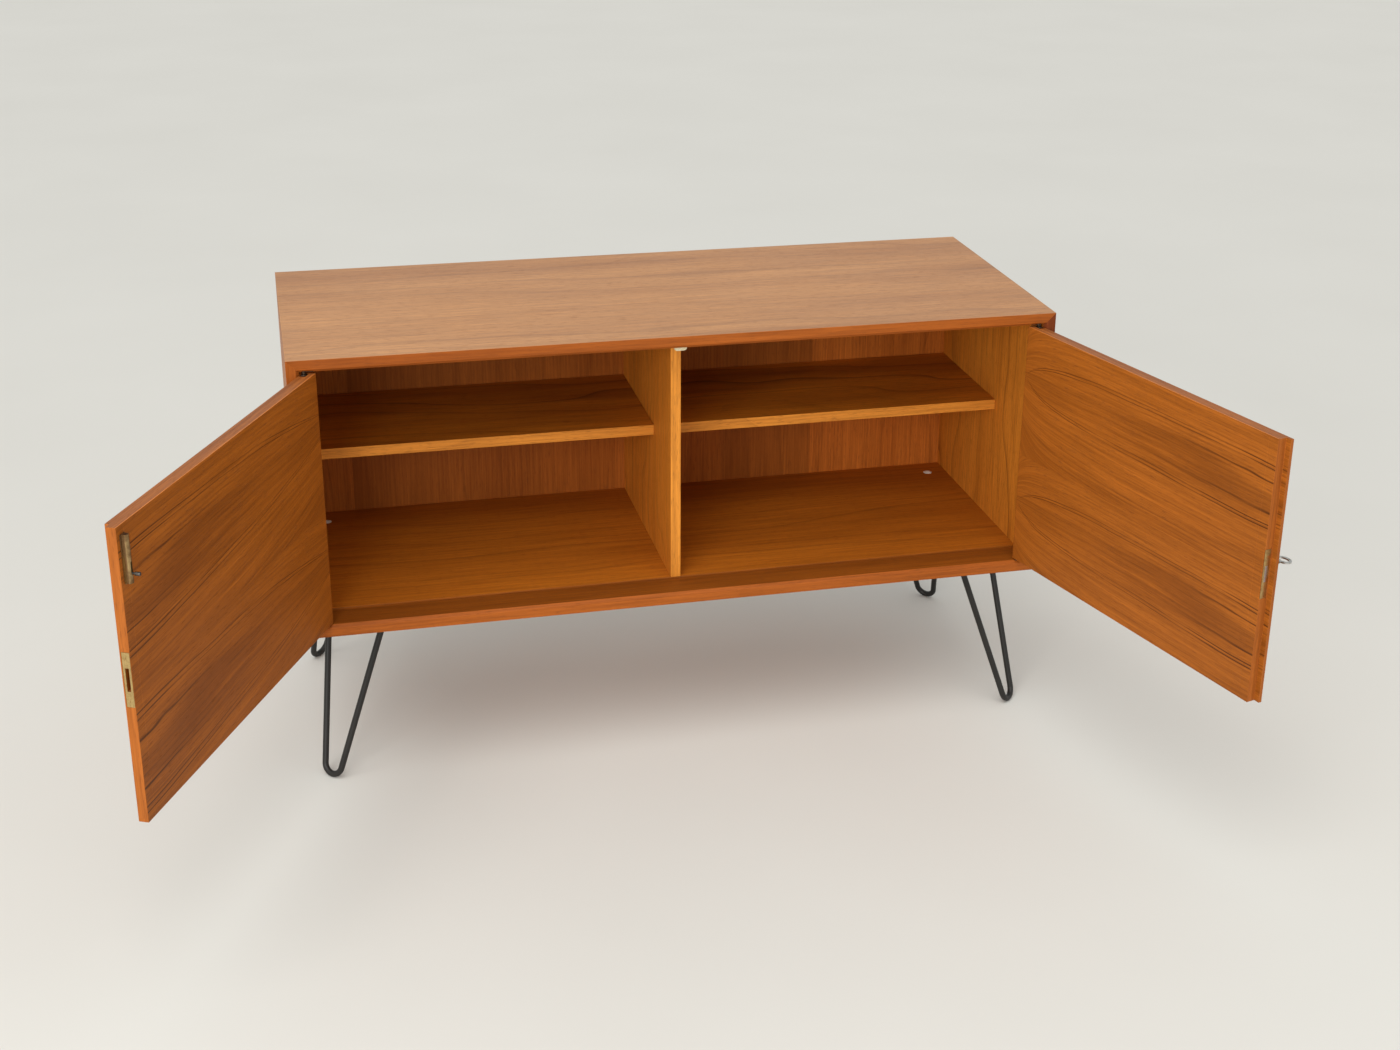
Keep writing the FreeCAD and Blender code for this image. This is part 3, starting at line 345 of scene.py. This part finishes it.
def fine_lines(shader, fanned, sway, u, patchy):
    """Thin dark lines that follow the fan, with hairlines between them."""
    field = shader.math("MULTIPLY_ADD", sway, FINE_SWAY, FINE_START)
    field = shader.math("MULTIPLY_ADD", fanned, FINE_LINES, field)
    fine = rings(shader, field, FINE_STRENGTH, FINE_SHARPNESS)
    fine = shader.product(fine, shader.between(u, *FINE_FADE))
    hairlines = rings(shader, shader.product(field, HAIRLINES), HAIRLINE_STRENGTH, HAIRLINE_SHARPNESS)
    fine = shader.math("MAXIMUM", fine, hairlines)
    return shader.product(fine, shader.between(patchy, *FINE_PATCHES))


def twin_lines(shader, branch, u, patchy, width):
    """The two branches of the fan: double dark lines, darkest near the hinge and the free edge."""
    twin = shader.math("SUBTRACT", shader.math("ABSOLUTE", branch), TWIN_GAP)
    twin = shader.between(shader.math("ABSOLUTE", twin), width, TWIN_CORE)
    ends = shader.math("ABSOLUTE", shader.math("SUBTRACT", u, TWIN_MIDDLE))
    return shader.product(twin, shader.between(ends, *TWIN_ENDS), shader.between(patchy, *TWIN_PATCHES))


def inner_lines(shader, share_off, u, patchy, streaky, width):
    """A second pair of lines, which starts half way along, inside the first."""
    ragged = shader.math("MULTIPLY_ADD", patchy, INNER_RAGGED, -INNER_RAGGED / 2)
    inner = shader.math("ADD", shader.math("SUBTRACT", share_off, INNER_BRANCH), ragged)
    inner = shader.between(shader.math("ABSOLUTE", inner), width * INNER_WIDTH, INNER_CORE)
    return shader.product(inner, shader.between(u, *INNER_FADE), shader.between(streaky, *INNER_STREAKS))


def door_veneer(name, door, fan):
    """Leaves of one figure, one above the other: lines that fan out from the hinge side."""
    shader = Shader(name)
    along, deep, high = door.coordinates(shader)
    share = shader.math("DIVIDE", shader.math("SUBTRACT", door.tall, high), door.tall)
    repeat = shader.math("DIVIDE", share, LEAF_SHARE)
    leaf = shader.math("FLOOR", repeat)
    within = shader.product(shader.math("FRACT", repeat), LEAF_SHARE)
    across = shader.product(within, door.tall)
    u = shader.math("DIVIDE", along, door.width)        # 0 at the hinge, 1 at the free edge

    # where the middle of the fan is, and how wide the fan is
    sway = shader.noise(shader.scaled(shader.joined(along, across, deep), SWAY_SCALE), detail=2)
    sway = shader.math("SUBTRACT", sway, 0.5)
    middle = shader.math("MULTIPLY_ADD", u, fan["drift"], fan["centre"])
    middle = shader.math("MULTIPLY_ADD", sway, SWAY_REACH, middle)
    off = shader.math("SUBTRACT", within, middle)
    opening = shader.math("ADD", u, fan["start"])
    spread = shader.math("DIVIDE", opening, shader.math("ADD", opening, fan["knee"]))
    spread = shader.product(spread, fan["reach"])

    # fibres and fine lines follow the fan, so they close up towards the hinge
    fanned = shader.math("DIVIDE", off, shader.math("ADD", spread, FAN_OPENNESS))
    level = shader.math("MULTIPLY_ADD", fanned, FAN_GRAIN, shader.product(leaf, LEAF_OFFSET))
    grain = shader.joined(along, level, deep)
    bands = shader.noise(shader.scaled(grain, FAN_BAND_SCALE), detail=5, roughness=0.62, distortion=0.4)
    patchy = shader.noise(shader.scaled(grain, FAN_PATCH_SCALE), detail=2)
    streaky = shader.noise(shader.scaled(grain, FAN_STREAK_SCALE), detail=3)
    share_off = shader.math("DIVIDE", shader.math("ABSOLUTE", off), spread)
    branch = shader.math("SUBTRACT", share_off, BRANCH)
    fine = fine_lines(shader, fanned, sway, u, patchy)
    twin = twin_lines(shader, branch, u, patchy, fan["line"])
    inner = inner_lines(shader, share_off, u, patchy, streaky, fan["line"])

    # between the branches the wood is browner towards the free edge, in streaks
    brown = shader.product(shader.between(branch, *BROWN_INSIDE), shader.between(u, *BROWN_FADE),
                           shader.between(streaky, *BROWN_STREAKS, 0.0, fan["brown"]))

    light, dark = fan["tones"]
    colour = banded(shader, bands, fan["tones"], FAN_BAND_STOPS, FAN_BAND_MIDDLE)
    colour = shader.mix(shader.between(streaky, *LIGHT_STREAKS), colour, shade(light, STREAK_SHADE))
    colour = shader.mix(brown, colour, shade_between(dark, LINE, BROWN_SHARE))
    colour = shader.mix(fine, colour, LINE)
    colour = shader.mix(shader.math("MAXIMUM", twin, inner), colour, shade(LINE, BRANCH_SHADE))
    colour = shader.tinted(colour, leaf_tint(shader, leaf, DOOR_LEAF_SPREAD))
    return wood_surface(shader, grain, colour)


def door_rail(name, door, tones):
    """The long lippings on the top and bottom of a door, with their grain along it and a painted highlight."""
    shader = Shader(name)
    along, deep, high = door.coordinates(shader)
    grain = shader.joined(along, deep, high)
    light, dark = tones
    streaks = shader.noise(shader.scaled(grain, RAIL_STREAK_SCALE), detail=3)
    colour = shader.ramp(streaks, *zip(RAIL_STOPS, (dark, light)))
    # painted highlight: a lighter strip along the lipping, next to the inner face of the door
    start, end = (door.back - distance for distance in RAIL_HIGHLIGHT)
    arris = shader.between(deep, start, end, 0.0, RAIL_HIGHLIGHT_STRENGTH)
    colour = shader.mix(arris, colour, shade(light, RAIL_HIGHLIGHT_FACTOR))
    return wood_surface(shader, grain, colour, gloss=0.40, specular=0.25)


# ---- plywood, metals and plastics ------------------------------------------------------------
# Scales here are along X, Y and Z. Stops are pairs of a noise and its colour.
PLY_LAYERS = 700                # to the metre
PLY_GRIT_SCALE = (400, 60, 400)
PLY_STOPS = (0.2, (0.42, 0.25, 0.12)), (0.8, (0.70, 0.52, 0.31))
POWDER_STOPS = (0.30, (0.010, 0.009, 0.008)), (0.62, (0.018, 0.016, 0.014)), (0.80, (0.040, 0.034, 0.028))
POWDER_ROUGHNESS = (0.3, 0.75, 0.36, 0.54)
SCRATCH_SCALE = (1400, 1400, 60)
SCRATCH_STOPS = (0.3, grey(0.88)), (0.7, grey(1.08))
SPOT_RANGE = (0.60, 0.74, 0.0, 0.5)
TARNISH_SOFTNESS = 0.16         # half the range of noise over which tarnish begins
METAL_ROUGHNESS = (0.24, 0.5)   # clean, tarnished
SCRATCH_ROUGHNESS = 0.1
PLASTIC_GRIT_RANGE = (0.62, 0.74, 0.0, 0.35)
PLASTIC_ROUGHNESS = (0.3, 0.7, 0.34, 0.52)


def plywood_edge(name):
    """Birch plywood: thin bands across the strip."""
    shader = Shader(name)
    x, _, z = shader.split(shader.place)
    layers = shader.math("FRACT", shader.product(shader.math("ADD", x, z), PLY_LAYERS))
    grit = shader.noise(shader.scaled(shader.place, PLY_GRIT_SCALE), detail=3)
    mixed = shader.math("MULTIPLY_ADD", grit, 0.5, shader.product(layers, 0.5))
    shader.bump(grit, distance=0.0001, strength=0.5)
    return shader.finish(shader.ramp(mixed, *PLY_STOPS), roughness=0.7)


def powder_coat(name):
    shader = Shader(name, **{"Specular IOR Level": 0.35})
    peel = shader.noise(shader.place, scale=900, detail=2)
    rub = shader.noise(shader.place, scale=14, detail=5, roughness=0.65)
    shader.bump(peel, distance=0.00012, strength=0.35)
    return shader.finish(shader.ramp(rub, *POWDER_STOPS), shader.between(rub, *POWDER_ROUGHNESS))


def metal(name, clean, stained, spotted, stain=0.5, patch_scale=130):
    """Metal with patches of tarnish, fine scratches along Z and small dark spots."""
    shader = Shader(name, Metallic=1.0)
    patches = shader.noise(shader.place, patch_scale, detail=5, roughness=0.55, distortion=0.3)
    scratches = shader.noise(shader.scaled(shader.place, SCRATCH_SCALE), detail=2)
    spots = shader.noise(shader.place, scale=800, detail=2)
    old = shader.between(patches, stain - TARNISH_SOFTNESS, stain + TARNISH_SOFTNESS)
    colour = shader.mix(old, clean, stained)
    colour = shader.mix(shader.between(spots, *SPOT_RANGE), colour, spotted)
    colour = shader.tinted(colour, shader.ramp(scratches, *SCRATCH_STOPS))
    shader.bump(shader.math("ADD", scratches, spots), distance=0.00004, strength=0.35)
    rough = shader.between(old, 0.0, 1.0, *METAL_ROUGHNESS)
    return shader.finish(colour, shader.math("MULTIPLY_ADD", scratches, SCRATCH_ROUGHNESS, rough))


def moulded_plastic(name, clean, aged):
    shader = Shader(name)
    mottle = shader.noise(shader.place, scale=160, detail=4)
    grit = shader.noise(shader.place, scale=1600, detail=2)
    colour = shader.ramp(mottle, (0.35, aged), (0.62, clean))
    colour = shader.mix(shader.between(grit, *PLASTIC_GRIT_RANGE), colour, shade(aged, 0.6))
    shader.bump(grit, distance=0.00004, strength=0.4)
    return shader.finish(colour, shader.between(mottle, *PLASTIC_ROUGHNESS))


# ---- materials on the CAD nodes --------------------------------------------------------------
FACING = 0.6                    # cosine past which a face counts as looking in a direction
LEFT, RIGHT = Vector((-1, 0, 0)), Vector((1, 0, 0))
FRONT, REAR = Vector((0, -1, 0)), Vector((0, 1, 0))
DOWN, UP = Vector((0, 0, -1)), Vector((0, 0, 1))

# tones are (light, dark)
TOP_TONES = (0.58, 0.265, 0.090), (0.39, 0.160, 0.050)
SIDE_TONES = (0.44, 0.155, 0.035), (0.34, 0.110, 0.022)
WALL_TONES = (0.74, 0.265, 0.030), (0.54, 0.170, 0.015)
FLOOR_TONES = (0.50, 0.150, 0.012), (0.36, 0.098, 0.007)
IN_SHADE_TONES = (0.31, 0.086, 0.008), (0.20, 0.052, 0.005)
# the next tones are a darker teak: painted shade, for the underside of the top, the sill and the front of the
# floor lining
SHELF_TONES = (0.68, 0.225, 0.018), (0.25, 0.062, 0.005)
BACK_TONES = (0.49, 0.139, 0.019), (0.37, 0.096, 0.012)
EDGE_TONES = (0.40, 0.105, 0.014), (0.30, 0.072, 0.009)
# the next tones are the edge teak made darker: painted shade, for the front edge of the right side
SHADED_EDGE_TONES = (0.20, 0.042, 0.008), (0.13, 0.026, 0.005)
# the next tones are the edge teak made lighter: painted light, for the fronts of the shelves and the divider
LIT_EDGE_TONES = (0.73, 0.275, 0.036), (0.56, 0.195, 0.024)
STILE_TONES = (0.43, 0.125, 0.020), (0.33, 0.090, 0.013)
RAIL_TONES = (0.38, 0.120, 0.025), (0.26, 0.075, 0.014)
LEFT_DOOR_TONES = (0.36, 0.100, 0.009), (0.25, 0.066, 0.006)
RIGHT_DOOR_TONES = (0.41, 0.118, 0.013), (0.30, 0.082, 0.008)
PLY_TONES = (0.52, 0.335, 0.160), (0.42, 0.255, 0.115)

# centre and drift: where the middle of the fan is at the hinge, and how much lower at the free edge
# reach, knee and start: its spread is reach * x / (x + knee), with x the length along plus start
# line: half the width of an outer line, in spreads of the fan; brown: strength of the browner wood
LEFT_FAN = dict(tones=LEFT_DOOR_TONES, centre=0.205, drift=0.05, reach=0.260, knee=0.50, start=0.119,
                line=0.022, brown=0.18)
RIGHT_FAN = dict(tones=RIGHT_DOOR_TONES, centre=0.205, drift=0.01, reach=0.124, knee=0.07, start=0.006,
                 line=0.030, brown=0.26)


def paint(names, main, *special):
    """Gives CAD nodes a material, and others to the faces that look in the given directions."""
    for name in names:
        mesh = nodes[name].data
        mesh.materials.clear()
        mesh.materials.append(main)
        for direction, material in special:
            mesh.materials.append(material)
            for face in mesh.polygons:
                if face.normal.dot(direction) > FACING:
                    face.material_index = len(mesh.materials) - 1


teak_top = teak("teak_top", "XYZ", TOP_TONES, frequency=30, wave=1.6, contrast=0.35, specular=0.9)
teak_outside = teak("teak_outside", "ZYX", SIDE_TONES, frequency=34, wave=1.8, contrast=0.45, seed=3.1,
                    specular=0.4)
teak_under = teak("teak_underside", "XYZ", SIDE_TONES, frequency=34, wave=1.8, contrast=0.45, seed=3.9,
                  specular=0.4)
teak_wall = teak("teak_wall", "ZYX", WALL_TONES, frequency=24, wave=2.3, swirl=2.2, contrast=0.65,
                 seed=1.7)
teak_floor = teak("teak_floor", "XYZ", FLOOR_TONES, frequency=34, wave=1.2, contrast=0.5, seed=5.3)
# painted shade: a darker teak for the faces that lie in shade
teak_in_shade = teak("teak_in_shade", "XYZ", IN_SHADE_TONES, frequency=60, contrast=0.5, seed=7.9)
teak_shelf = teak("teak_shelf", "XYZ", SHELF_TONES, frequency=30, wave=2.6, swirl=1.6, contrast=0.9,
                  seed=2.2)
teak_back = teak("teak_back", "ZXY", BACK_TONES, frequency=30, wave=1.5, contrast=0.4, seed=4.4,
                 leaf_width=0.165)
edge_along = teak("teak_edge_along", "XYZ", EDGE_TONES, frequency=70, contrast=0.35, seed=0.6)
edge_up = teak("teak_edge_up", "ZYX", EDGE_TONES, frequency=70, contrast=0.35, seed=8.2)
# painted shade: the edge teak, darker
shaded_edge = teak("teak_shaded_edge", "ZYX", SHADED_EDGE_TONES, frequency=70, contrast=0.35, seed=8.9)
# painted light: the edge teak, lighter
lit_edge_along = teak("teak_lit_edge_along", "XYZ", LIT_EDGE_TONES, frequency=70, contrast=0.2,
                    seed=6.1)
lit_edge_up = teak("teak_lit_edge_up", "ZYX", LIT_EDGE_TONES, frequency=70, contrast=0.2, seed=9.4)
teak_stile = teak("teak_stile", "ZYX", STILE_TONES, frequency=80, contrast=0.35, seed=2.9)
back_ply = teak("back_plywood", "ZXY", PLY_TONES, frequency=22, wave=2.5, contrast=0.12, seed=3.3)

# the underside of the top, the sill and the front of the floor lining get the darker teak, which is painted shade
paint(["top_panel"], teak_top, (DOWN, teak_in_shade), (FRONT, edge_along))
paint(["bottom_panel"], teak_under, (UP, teak_in_shade), (FRONT, edge_along))
paint(["left_side_panel"], teak_outside, (RIGHT, teak_wall), (FRONT, edge_up))
# the front edge of the right side is darker: painted shade
paint(["right_side_panel"], teak_outside, (LEFT, teak_wall), (FRONT, shaded_edge))
# the fronts of the divider and the shelves are lighter: painted light
paint(["centre_divider"], teak_wall, (FRONT, lit_edge_up))
paint(["left_shelf", "right_shelf"], teak_shelf, (FRONT, lit_edge_along))
paint(["floor_lining"], teak_floor, (FRONT, teak_in_shade))
paint(["back_panel"], teak_back, (REAR, back_ply))
for side, side_name, fan in ((-1, "left", LEFT_FAN), (1, "right", RIGHT_FAN)):
    door_name = f"{side_name}_door"
    door = Door(side, f"{door_name}_hinge", f"{door_name}_panel", f"{door_name}_meeting_stile")
    veneer = door_veneer(f"teak_{door_name}", door, fan)
    rail = door_rail(f"teak_{door_name}_rail", door, RAIL_TONES)
    paint(door.nodes, teak_stile, (UP, rail), (DOWN, rail), (door.inner, veneer), (-door.inner, veneer))

# metals are clean, stained and spotted; plastics are clean and aged
BY_SLOT = {
    "plywood": plywood_edge("birch_plywood"),
    "black_steel": powder_coat("black_powder_coat"),
    "dark_steel": metal("dark_steel", (0.11, 0.080, 0.055), (0.055, 0.036, 0.024), (0.02, 0.014, 0.01)),
    "steel": metal("bright_steel", (0.55, 0.54, 0.52), (0.36, 0.35, 0.32), (0.15, 0.13, 0.11), stain=0.6),
    "brass": metal("aged_brass", (0.56, 0.40, 0.17), (0.40, 0.26, 0.105), (0.14, 0.085, 0.035),
                   stain=0.56),
    "white_plastic": moulded_plastic("white_plastic", (0.80, 0.79, 0.74), (0.66, 0.63, 0.55)),
    "cream_plastic": moulded_plastic("cream_plastic", (0.72, 0.66, 0.44), (0.58, 0.50, 0.30)),
}
bolt_brass = metal("bolt_brass", (0.38, 0.26, 0.12), (0.19, 0.105, 0.045), (0.05, 0.03, 0.015),
                   patch_scale=60)
bolt_steel = metal("bolt_steel", (0.14, 0.13, 0.12), (0.05, 0.045, 0.04), (0.02, 0.018, 0.015))
for part in frame["record"]["subparts"]:
    if part["material_slot"] in BY_SLOT:
        paint([part["node"]], BY_SLOT[part["material_slot"]])
paint(["bolt_body", "bolt_body_pins"], bolt_brass)
paint(["bolt_bar"], bolt_steel)

# ---- weld beads ------------------------------------------------------------------------------
ROD_TOP_DEPTH = 0.0005          # vertices this near the top belong to the top of a rod
WELD_RADIUS = 0.0056            # of the middle of the bead, just outside the rod
WELD_HALF_WIDTH = 0.0017
WELD_HALF_HEIGHT = 0.0015
WELD_DROP = 0.0012              # its middle lies this far below the top of the rod
WELD_RIPPLES = (0.00022, 9, 0.0), (0.00015, 14, 1.3)    # height, waves in a turn, phase
WELD_SIDES = 40
WELD_SECTION = 10


def rod_tops(name):
    """The centres of the two places where a bent rod meets its plate."""
    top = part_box(name)[1].z
    points = [vertex.co for vertex in nodes[name].data.vertices if vertex.co.z > top - ROD_TOP_DEPTH]
    middle = sum(points, Vector()) / len(points)
    spread = max(points, key=lambda point: (point - middle).length) - middle
    groups = [[p for p in points if (p - middle).dot(spread) * sign > 0] for sign in (1, -1)]
    return [sum(group, Vector()) / len(group) for group in groups]


def weld_bead(name, centre):
    """An uneven ring of weld round the top of a rod."""
    ring = bmesh.new()
    for i in range(WELD_SIDES):
        turn = 2 * math.pi * i / WELD_SIDES
        ripple = sum(height * math.sin(waves * turn + phase) for height, waves, phase in WELD_RIPPLES)
        for j in range(WELD_SECTION):
            lap = 2 * math.pi * j / WELD_SECTION
            out = WELD_RADIUS + ripple + (WELD_HALF_WIDTH + ripple) * math.cos(lap)
            up = (WELD_HALF_HEIGHT + ripple) * math.sin(lap)
            ring.verts.new(centre + Vector((out * math.cos(turn), out * math.sin(turn), up)))
    ring.verts.ensure_lookup_table()
    for i in range(WELD_SIDES):
        for j in range(WELD_SECTION):
            corners = [(i, j), (i + 1, j), (i + 1, j + 1), (i, j + 1)]
            ring.faces.new([ring.verts[(a % WELD_SIDES) * WELD_SECTION + b % WELD_SECTION]
                            for a, b in corners])
    mesh = bpy.data.meshes.new(name)
    ring.to_mesh(mesh)
    ring.free()
    mesh.shade_smooth()
    mesh.materials.append(BY_SLOT["black_steel"])
    bead = bpy.data.objects.new(name, mesh)
    bpy.context.scene.collection.objects.link(bead)
    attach(bead, "case")


for node_name in sorted(nodes):
    if node_name.endswith("_leg_rod"):
        for number, centre in enumerate(rod_tops(node_name)):
            weld_bead(f"{node_name}_weld_{number + 1}", centre - Vector((0, 0, WELD_DROP)))

# ---- floor, light and camera -----------------------------------------------------------------
FLOOR_HALF = 30.0
FLOOR_STOPS = (0.3, (0.67, 0.65, 0.61)), (0.7, (0.69, 0.67, 0.63))
WORLD_COLOUR = (0.90, 0.93, 0.92, 1.0)
WORLD_STRENGTH = 0.68
WINDOW_STRENGTH = 1.35
WINDOW_ANGLE = math.radians(50)
WINDOW_COLOUR = (1.0, 0.985, 0.96)
WINDOW_DIRECTION = Vector((0.45, 0.75, -1.6))
CAMERA_PLACE = Vector((-0.6279, -3.0112, 1.6119))
CAMERA_YAW = 0.25893            # turned from +Y towards +X
CAMERA_PITCH = 0.3778           # looking down
CAMERA_ROLL = -0.01671
CAMERA_LENS = 50.24
SENSOR_WIDTH = 36.0
SHIFT = (-0.0386, -0.0378)


def pale_floor():
    mesh = bpy.data.meshes.new("pale_floor")
    corners = [(-1, -1), (1, -1), (1, 1), (-1, 1)]
    mesh.from_pydata([(x * FLOOR_HALF, y * FLOOR_HALF, 0) for x, y in corners], [], [(0, 1, 2, 3)])
    plane = bpy.data.objects.new("pale_floor", mesh)
    bpy.context.scene.collection.objects.link(plane)
    shader = Shader("pale_floor")
    cloud = shader.noise(shader.place, scale=1.5, detail=4)
    mesh.materials.append(shader.finish(shader.ramp(cloud, *FLOOR_STOPS), roughness=0.75))


def link_light(name, data, direction):
    lamp = bpy.data.objects.new(name, data)
    lamp.rotation_euler = direction.to_track_quat("-Z", "Y").to_euler()
    bpy.context.scene.collection.objects.link(lamp)
    return lamp


def area_light(name, place, target, size, power, colour):
    data = bpy.data.lights.new(name, "AREA")
    data.shape = "RECTANGLE"
    data.size, data.size_y = size
    data.energy = power
    data.color = colour
    link_light(name, data, Vector(target) - Vector(place)).location = place


def studio_light():
    world = bpy.data.worlds.new("studio")
    world.use_nodes = True
    background = world.node_tree.nodes["Background"]
    background.inputs["Color"].default_value = WORLD_COLOUR
    background.inputs["Strength"].default_value = WORLD_STRENGTH
    bpy.context.scene.world = world
    area_light("key", place=(-2.1, -3.7, 1.7), target=(0.1, 0, 0.45), size=(2.0, 1.5), power=78,
               colour=(1.0, 0.98, 0.95))
    area_light("fill", place=(2.6, -3.2, 1.5), target=(0, 0, 0.4), size=(1.8, 1.6), power=14,
               colour=(1.0, 0.99, 0.97))
    sun = bpy.data.lights.new("window", "SUN")
    sun.energy = WINDOW_STRENGTH
    sun.angle = WINDOW_ANGLE
    sun.color = WINDOW_COLOUR
    link_light("window", sun, WINDOW_DIRECTION)
    bpy.context.scene.view_settings.view_transform = "Standard"


def photograph_camera():
    yaw, pitch, roll = CAMERA_YAW, CAMERA_PITCH, CAMERA_ROLL
    forward = Vector((math.sin(yaw) * math.cos(pitch), math.cos(yaw) * math.cos(pitch), -math.sin(pitch)))
    level = Vector((math.cos(yaw), -math.sin(yaw), 0))
    down = forward.cross(level)
    right = level * math.cos(roll) + down * math.sin(roll)
    under = down * math.cos(roll) - level * math.sin(roll)
    data = bpy.data.cameras.new("camera")
    data.lens = CAMERA_LENS
    data.sensor_width = SENSOR_WIDTH
    data.shift_x, data.shift_y = SHIFT
    camera = bpy.data.objects.new("camera", data)
    turn = Matrix((right, -under, -forward)).transposed().to_4x4()
    camera.matrix_world = Matrix.Translation(CAMERA_PLACE) @ turn
    bpy.context.scene.collection.objects.link(camera)
    bpy.context.scene.camera = camera


pale_floor()
studio_light()
photograph_camera()
